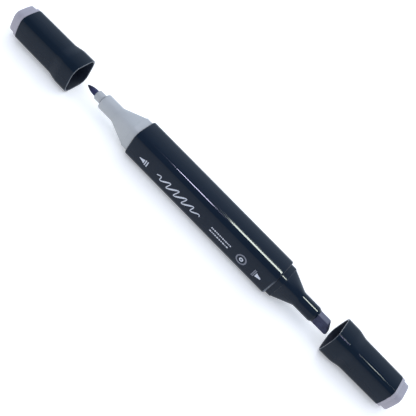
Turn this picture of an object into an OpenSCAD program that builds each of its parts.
// Twin-tip art marker: a rounded-square barrel with a fine nib at the -X end, a chisel nib at
// the +X end and a cap for each, pulled off and lying in line with the barrel.
// Millimetres, +Z up. The origin is the middle of the barrel face that the marker rests on.

/* [Barrel] */
// Length between the two shoulders that the caps stop against
barrel_len = 82.4; // [70:0.2:100]
// Width across the flat faces
barrel_w = 15.4; // [15.2:0.1:16]
// Radius of the four long corners
barrel_r = 4.6; // [4.3:0.1:4.9]
// Wall thickness
barrel_wall = 1.3; // [1.2:0.05:1.4]

/* [Noses] */
// Length of the square collar that the fine cap grips
fine_collar_len = 3.2; // [2.2:0.1:3.6]
// Length of the square collar that the chisel cap grips
chisel_collar_len = 2.8; // [2.2:0.1:3.6]
// Length over which the fine end's collar narrows to its tube
fine_cone_len = 9.9; // [8:0.1:10.2]
// Length over which the chisel end's collar narrows to its tube
chisel_cone_len = 9.5; // [8:0.1:10.2]
// Outer diameter of the round nib tubes
tube_d = 7.46; // [7.3:0.02:7.6]
// Length of the tube at the fine end
fine_tube_len = 8.7; // [7.5:0.1:10]
// Length of the tube at the chisel end, bevel included
chisel_tube_len = 9.7; // [7.5:0.1:10]

/* [Nibs] */
// Diameter of the fine nib
fine_nib_d = 2.86; // [2:0.02:3.2]
// Length of the fine nib outside its holder
fine_nib_out = 5.8; // [4:0.2:6]
// Outer diameter of the fine nib's holder
holder_d = 4.5; // [4.2:0.1:5]
// Length of the holder outside the tube
holder_out = 4.1; // [2:0.1:4.2]
// Width of the chisel nib across its broad face
chisel_nib_w = 6.1; // [4.5:0.1:6.2]
// Thickness of the chisel nib
chisel_nib_t = 2.86; // [2:0.02:3]
// Length of the chisel nib outside the tube
chisel_nib_out = 8.1; // [6:0.1:8.2]
// Slant of the chisel nib's cut end
chisel_slant = 29; // [20:1:35]

/* [Ink reservoir] */
// Diameter of the fibre core
reservoir_d = 10.2; // [8:0.1:10.2]
// Length of the fibre core
reservoir_len = 74; // [60:1:76]

/* [Caps] */
// Length of a cap's shell
shell_len = 31.8; // [31.6:0.1:34]
// Length of the straight mouth, as wide as the barrel
mouth_len = 6; // [4:0.5:7]
// Length over which the mouth narrows to the waist
flare_len = 5; // [4:0.5:6]
// Width across the flats at the waist
waist_w = 13.6; // [13.5:0.05:13.9]
// Width across the flats at the plug end
plug_end_w = 13.35; // [13.3:0.05:13.5]
// Height of the end plug's rim
rim_h = 1.4; // [1:0.1:1.6]
// Height of the block on the rim
block_h = 2.9; // [2.8:0.1:4]
// Gap between the fine cap's mouth and the barrel when it is off
fine_cap_gap = 36.4; // [34:0.2:60]
// Gap between the chisel cap's mouth and the barrel when it is off
chisel_cap_gap = 32.3; // [31:0.1:60]

/* [Hidden] */
$fn = 64;
hull_fn = 32;          // sides on the rounds inside a hull
FINE = -1;             // the fine end points along -X
CHISEL = 1;            // the chisel end points along +X
press = 0.02;          // gap per side between pieces that are pressed together
slip = 0.1;            // gap per side between a collar and the cap on it
eps = 0.01;            // overlap of cuts past a face
slab = 0.02;           // thickness of the outlines that a hull joins
edge = 0.4;            // chamfer around the ends of the barrel

cavity_w = barrel_w - 2 * barrel_wall;
cavity_r = barrel_r - barrel_wall;
cap_wall = 0.95;
mouth_in_w = barrel_w - 2 * cap_wall;
mouth_in_r = barrel_r - cap_wall;
collar_w = mouth_in_w - 2 * slip;
collar_r = mouth_in_r - slip;

spigot_len = 7;                                   // part of a nose inside the barrel
sleeve_t = 0.15;                                  // film around the fibre core
sleeve_d = reservoir_d + 2 * (sleeve_t + press);
socket_d = sleeve_d + 2 * press;
reservoir_end = (barrel_len - reservoir_len) / 2; // from a shoulder in to the core's end
nose_hollow_d = 8.6;
fine_tube_start = fine_collar_len + fine_cone_len; // from a shoulder out to the tube
chisel_tube_start = chisel_collar_len + chisel_cone_len;
nib_depth = 5;                                    // length of a nib inside the core
tip_r = 0.45;                                     // rounding of the fine nib's point
holder_in = 7;                                    // length of the holder inside the tube

waist_r = 3.9;
plug_end_r = 3.85;
bore_w = waist_w - 2 * 1.3;
bore_r = waist_r - 1.3;
socket_w = plug_end_w - 2 * cap_wall;
socket_r = plug_end_r - cap_wall;
plug_socket_len = 5.3;
liner_start = 13;                                 // from a cap's mouth in to its liner
liner_in_d = tube_d + 0.16;
liner_wall = 0.75;
liner_d = liner_in_d + 2 * liner_wall;
liner_end = shell_len + 1.3;                      // from a cap's mouth to the liner's end
liner_flange_h = 1;
rim_w = 12.9;
rim_r = 3.7;
block_w = 11.8;
block_r = 3.5;
plug_in_w = liner_d + 0.3;
plug_top_t = 1.1;

// A square with rounded corners, centred on the origin.
module rounded_square(w, r) {
    for (size = [[w, w - 2 * r], [w - 2 * r, w]]) square(size, center = true);
    for (x = [-1, 1], y = [-1, 1]) translate([x, y] * (w / 2 - r)) circle(r);
}

// A straight rounded-square bar from z0 to z1.
module bar(w, r, z0, z1) {
    translate([0, 0, z0]) linear_extrude(z1 - z0) rounded_square(w, r);
}

// A rounded-square bar that tapers from [w, r] at z0 to another [w, r] at z1.
module taper(from, z0, to, z1) {
    hull() {
        translate([0, 0, z0]) linear_extrude(slab) rounded_square(from[0], from[1], $fn = hull_fn);
        translate([0, 0, z1 - slab]) linear_extrude(slab) rounded_square(to[0], to[1], $fn = hull_fn);
    }
}

// Moves a piece drawn along +Z from a shoulder to one end of the barrel, pointing outwards.
module at_end(end, gap = 0) {
    translate([end * (barrel_len / 2 + gap), 0, barrel_w / 2]) rotate([0, end * 90, 0]) children();
}

// A round piece with both end edges chamfered by c.
module chamfered_rod(d, z0, z1, c) {
    rotate_extrude() polygon([
        [0, z0], [d / 2 - c, z0], [d / 2, z0 + c], [d / 2, z1 - c], [d / 2 - c, z1], [0, z1]
    ]);
}

module barrel() {
    color("#232a38") at_end(CHISEL) difference() {
        union() {
            bar(barrel_w, barrel_r, edge - barrel_len, -edge);
            taper([barrel_w - 2 * edge, barrel_r - edge], -barrel_len,
                  [barrel_w, barrel_r], edge - barrel_len + slab);
            taper([barrel_w, barrel_r], -edge - slab, [barrel_w - 2 * edge, barrel_r - edge], 0);
        }
        bar(cavity_w, cavity_r, -barrel_len - eps, eps);
    }
}

// A nose outside its nib's bore: spigot, collar, cone and tube, with the reservoir's socket.
module nose_body(collar_len, tube_start, tube_end, bevel_h, bevel_r) {
    difference() {
        union() {
            bar(cavity_w - 2 * press, cavity_r - press, -spigot_len, eps);
            bar(collar_w, collar_r, 0, collar_len);
            hull() {
                translate([0, 0, collar_len - slab]) linear_extrude(slab)
                    rounded_square(collar_w, collar_r, $fn = hull_fn);
                translate([0, 0, tube_start]) cylinder(d = tube_d, h = slab, $fn = 2 * hull_fn);
            }
            rotate_extrude() polygon([
                [0, tube_start - 1], [tube_d / 2, tube_start - 1], [tube_d / 2, tube_end - bevel_h],
                [tube_d / 2 - bevel_r, tube_end], [0, tube_end]
            ]);
        }
        translate([0, 0, -spigot_len - eps]) cylinder(d = socket_d, h = spigot_len - reservoir_end + eps);
        // Hollow behind the tube, narrowing with the cone outside it
        rotate_extrude() polygon([
            [0, -reservoir_end - eps], [nose_hollow_d / 2, -reservoir_end - eps],
            [nose_hollow_d / 2, collar_len + 1], [holder_d / 2 - 0.4, tube_start],
            [0, tube_start]
        ]);
    }
}

module fine_nose() {
    bevel = 0.7;
    tube_end = fine_tube_start + fine_tube_len;
    color("#b9bfca") at_end(FINE) difference() {
        nose_body(fine_collar_len, fine_tube_start, tube_end, bevel, bevel);
        translate([0, 0, fine_tube_start - eps]) cylinder(d = fine_nib_d + 2 * press, h = fine_tube_len + 1);
        translate([0, 0, tube_end - holder_in])
            cylinder(d = holder_d + 2 * press, h = holder_in + 1);
    }
}

module fine_nib_holder() {
    tube_end = fine_tube_start + fine_tube_len;
    color("#b4b8c6") at_end(FINE) difference() {
        chamfered_rod(holder_d, tube_end - holder_in + press, tube_end + holder_out, edge);
        translate([0, 0, tube_end - holder_in - 1])
            cylinder(d = fine_nib_d + 2 * press, h = holder_in + holder_out + 2);
    }
}

// Bullet nib: a rod whose end is an arc on each side, closed by a small round tip.
module fine_nib() {
    start = -reservoir_end - nib_depth;
    shoulder = fine_tube_start + fine_tube_len + holder_out;
    tip = shoulder + fine_nib_out;
    point_len = fine_nib_out - 0.6;
    steps = 10;
    color("#3d4166") at_end(FINE) rotate_extrude() polygon(concat(
        [[0, tip], [tip_r * 0.6, tip - 0.12]],
        [for (i = [0 : steps])
            let (s = i / steps)
            [tip_r + (fine_nib_d / 2 - tip_r) * sin(90 * s), tip - tip_r - (point_len - tip_r) * s]],
        [[fine_nib_d / 2, start], [0, start]]
    ));
}

module chisel_nose() {
    bevel_h = 1.1;
    bevel_r = 0.55;
    tube_end = chisel_tube_start + chisel_tube_len;
    color("#262c39") at_end(CHISEL) difference() {
        nose_body(chisel_collar_len, chisel_tube_start, tube_end, bevel_h, bevel_r);
        translate([-chisel_nib_w / 2 - press, -chisel_nib_t / 2 - press, -eps])
            cube([chisel_nib_w + 2 * press, chisel_nib_t + 2 * press, tube_end + 1]);
    }
}

// Chisel nib: a flat bar cut at a slant, with its long point on the -Z side.
module chisel_nib() {
    point_r = 1;
    start = -reservoir_end - nib_depth;
    shoulder = chisel_tube_start + chisel_tube_len;
    long_x = chisel_nib_w / 2 - point_r;
    long_z = shoulder + chisel_nib_out - point_r;
    color("#4b4c69") at_end(CHISEL) rotate([90, 0, 0]) translate([0, 0, -chisel_nib_t / 2])
        linear_extrude(chisel_nib_t) hull() {
            translate([-chisel_nib_w / 2, start]) square([chisel_nib_w, slab]);
            for (side = [0, 1])
                translate([long_x - side * 2 * long_x, long_z - side * 2 * long_x * tan(chisel_slant)])
                    circle(point_r, $fn = hull_fn);
        }
}

// The fibre core that holds the ink, with the two pockets that the nibs stand in.
module ink_reservoir() {
    pocket = nib_depth + 1;
    color("#8a8fa8") difference() {
        at_end(CHISEL) translate([0, 0, -reservoir_end - reservoir_len])
            cylinder(d = reservoir_d, h = reservoir_len);
        at_end(FINE) translate([0, 0, -reservoir_end - nib_depth - press])
            cylinder(d = fine_nib_d + 2 * press, h = pocket);
        at_end(CHISEL) translate([-chisel_nib_w / 2 - press, -chisel_nib_t / 2 - press,
                                  -reservoir_end - nib_depth - press])
            cube([chisel_nib_w + 2 * press, chisel_nib_t + 2 * press, pocket]);
    }
}

// The thin film sleeve around the core.
module reservoir_sleeve() {
    color("#d8dce4") at_end(CHISEL) translate([0, 0, -reservoir_end - reservoir_len]) difference() {
        cylinder(d = sleeve_d, h = reservoir_len);
        translate([0, 0, -eps]) cylinder(d = reservoir_d + 2 * press, h = reservoir_len + 2 * eps);
    }
}

// A cap's shell, drawn from its mouth at z = 0 to its plug end.
module cap_shell() {
    flare_end = mouth_len + flare_len;
    flare_mid = mouth_len + flare_len * 0.52;
    mid = [(barrel_w + waist_w) / 2 + 0.15, (barrel_r + waist_r) / 2];
    plug_ledge = shell_len - plug_socket_len;
    color("#1e2431") difference() {
        union() {
            bar(barrel_w, barrel_r, 0, mouth_len);
            taper([barrel_w, barrel_r], mouth_len - slab, mid, flare_mid);
            taper(mid, flare_mid - slab, [waist_w, waist_r], flare_end);
            taper([waist_w, waist_r], flare_end - slab, [plug_end_w, plug_end_r], shell_len);
        }
        bar(mouth_in_w, mouth_in_r, -eps, mouth_len);
        taper([mouth_in_w, mouth_in_r], mouth_len - slab, [bore_w, bore_r], flare_end);
        bar(bore_w, bore_r, flare_end - slab, shell_len + eps);
        bar(socket_w, socket_r, plug_ledge, shell_len + eps);
    }
}

// The inner cup that seals around the nib tube, held by its square flange under the plug.
module cap_liner() {
    ledge = shell_len - plug_socket_len;
    top_t = 0.6;
    lead = 0.35;
    color("#2a303c") union() {
        rotate_extrude() polygon([
            [liner_in_d / 2 + lead, liner_start], [liner_d / 2, liner_start],
            [liner_d / 2, liner_end], [0, liner_end], [0, liner_end - top_t],
            [liner_in_d / 2, liner_end - top_t], [liner_in_d / 2, liner_start + 1]
        ]);
        difference() {
            bar(socket_w - 2 * press, socket_r - press, ledge + press, ledge + liner_flange_h);
            translate([0, 0, ledge]) cylinder(d = liner_d - liner_wall, h = liner_flange_h + 1);
        }
    }
}

// The coloured plug that closes a cap: skirt inside the shell, rim on its end, block outside.
module cap_plug() {
    skirt_start = shell_len - plug_socket_len + liner_flange_h + press;
    block_end = shell_len + rim_h + block_h;
    block_taper = 0.15;
    block_edge = 0.3;
    color("#a9a5b6") difference() {
        union() {
            bar(socket_w - 2 * press, socket_r - press, skirt_start, shell_len + 2 * press);
            bar(rim_w, rim_r, shell_len + press, shell_len + rim_h);
            taper([block_w, block_r], shell_len + rim_h - slab,
                  [block_w - block_taper, block_r], block_end - block_edge);
            taper([block_w - block_taper, block_r], block_end - block_edge - slab,
                  [block_w - block_taper - 2 * block_edge, block_r - block_edge], block_end);
        }
        translate([0, 0, skirt_start - eps])
            cylinder(d = plug_in_w, h = block_end - plug_top_t - skirt_start);
    }
}

module fine_cap() at_end(FINE, fine_cap_gap) children();
module chisel_cap() at_end(CHISEL, chisel_cap_gap) children();

barrel();
fine_nose();
fine_nib_holder();
fine_nib();
chisel_nose();
chisel_nib();
ink_reservoir();
reservoir_sleeve();
fine_cap() cap_shell();  // fine_cap_shell
fine_cap() cap_liner();  // fine_cap_liner
fine_cap() cap_plug();  // fine_cap_plug
chisel_cap() cap_shell();  // chisel_cap_shell
chisel_cap() cap_liner();  // chisel_cap_liner
chisel_cap() cap_plug();  // chisel_cap_plug
